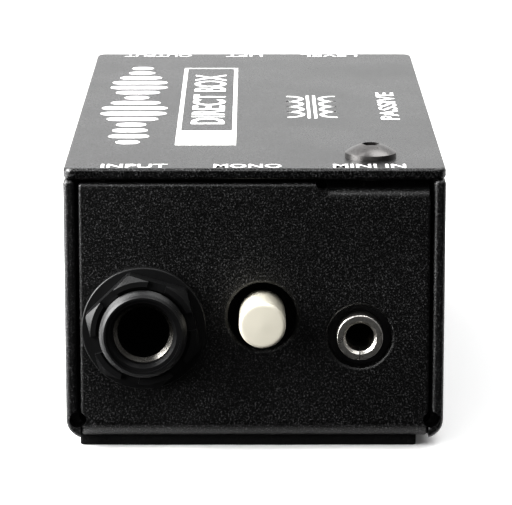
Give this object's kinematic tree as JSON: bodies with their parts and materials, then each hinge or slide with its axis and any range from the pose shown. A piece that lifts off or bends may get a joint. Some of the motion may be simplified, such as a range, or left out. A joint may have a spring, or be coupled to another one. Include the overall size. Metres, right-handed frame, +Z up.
{
  "type": "direct injection box",
  "caption": "Compact steel direct injection box: folded tray, flat screwed cover, quarter-inch and mini jacks, push switches, level knob, inner boards and transformer.",
  "frame": {"origin": "centre of the case's length and width, on the surface that the base pad rests on", "axes": "+Z up, +Y from the front panel (input, mono switch, mini jack) to the rear panel, +X to the right as the front panel is faced"},
  "size_m": [0.0478, 0.1117, 0.038],
  "materials": {
    "base_rubber": "fine-grained black rubber",
    "black_oxide": "black oxide steel, satin",
    "black_plastic": "glass-filled nylon, satin",
    "black_plastic_nut": "satin, moulded",
    "black_plastic_washer": "satin",
    "black_powder_coat": "fine textured powder coat, satin",
    "black_powder_coat_cover": "fine textured powder coat with white printed function words",
    "bobbin_plastic": "moulded nylon",
    "capacitor_body": "boxed film",
    "carbon_track": "printed carbon",
    "contact_bronze": "phosphor bronze, tinned",
    "core_steel": "laminated nickel iron",
    "green_board": "green solder mask",
    "grey_plastic": "acetal",
    "ivory_plastic": "ivory, soft gloss",
    "knob_plastic": "satin, fluted",
    "nickel": "nickel plate, bright",
    "resistor_body": "lacquered",
    "spring_steel": "bright spring wire",
    "tinned_lead": "tinned copper",
    "white_line": "white line",
    "winding_tape": "yellow winding tape",
    "wire_insulation": "stranded wire, PVC",
    "zinc_steel": "bright zinc plate"
  },
  "bodies": {
    "case": {"base_pad": "base_rubber", "board_screws": "zinc_steel", "board_standoffs": "zinc_steel", "chassis_tray": "black_powder_coat", "cover_hook": "zinc_steel", "cover_nut": "zinc_steel", "cover_screw": "black_oxide", "film_capacitors": "capacitor_body", "front_board": "green_board", "input_jack_housing": "black_plastic", "input_jack_nut": "black_plastic_nut", "input_jack_washer": "black_plastic_washer", "input_ring_contact": "contact_bronze", "input_sleeve_bush": "nickel", "input_tip_contact": "contact_bronze", "level_bushing": "nickel", "level_control_body": "black_plastic", "level_leads": "tinned_lead", "level_nut": "nickel", "level_track": "carbon_track", "level_washer": "nickel", "lift_return_spring": "spring_steel", "lift_switch_housing": "black_plastic", "lift_switch_leads": "tinned_lead", "link_wires": "wire_insulation", "mini_jack_contacts": "contact_bronze", "mini_jack_ferrule": "nickel", "mini_jack_housing": "black_plastic", "mono_return_spring": "spring_steel", "mono_switch_housing": "black_plastic", "mono_switch_leads": "tinned_lead", "output_jack_housing": "black_plastic", "output_jack_nut": "black_plastic_nut", "output_jack_washer": "black_plastic_washer", "output_sleeve_bush": "nickel", "output_tip_contact": "contact_bronze", "rear_board": "green_board", "resistors": "resistor_body", "top_cover": "black_powder_coat_cover", "transformer_bobbin": "bobbin_plastic", "transformer_bracket": "zinc_steel", "transformer_core": "core_steel", "transformer_leads": "tinned_lead", "transformer_winding": "winding_tape"},
    "mono_button": {"mono_button_cap": "ivory_plastic", "mono_plunger": "grey_plastic"},
    "lift_button": {"lift_button_cap": "ivory_plastic", "lift_plunger": "grey_plastic"},
    "level_control": {"level_shaft": "nickel", "level_wiper": "contact_bronze", "level_knob": "knob_plastic", "knob_pointer": "white_line"}
  },
  "joints": [
    {"name": "mono_press", "type": "slide", "parent": "case", "child": "mono_button", "axis": [0, 1, 0], "range_m": [0, 0.003], "stiffness_N_per_m": 400, "deforming": ["mono_return_spring"]},
    {"name": "lift_press", "type": "slide", "parent": "case", "child": "lift_button", "axis": [0, -1, 0], "range_m": [0, 0.003], "stiffness_N_per_m": 400, "deforming": ["lift_return_spring"]},
    {"name": "level_turn", "type": "hinge", "parent": "case", "child": "level_control", "pos_m": [0.0125, 0.0461, 0.016], "axis": [0, 1, 0], "range_deg": [-150, 150]}
  ]
}
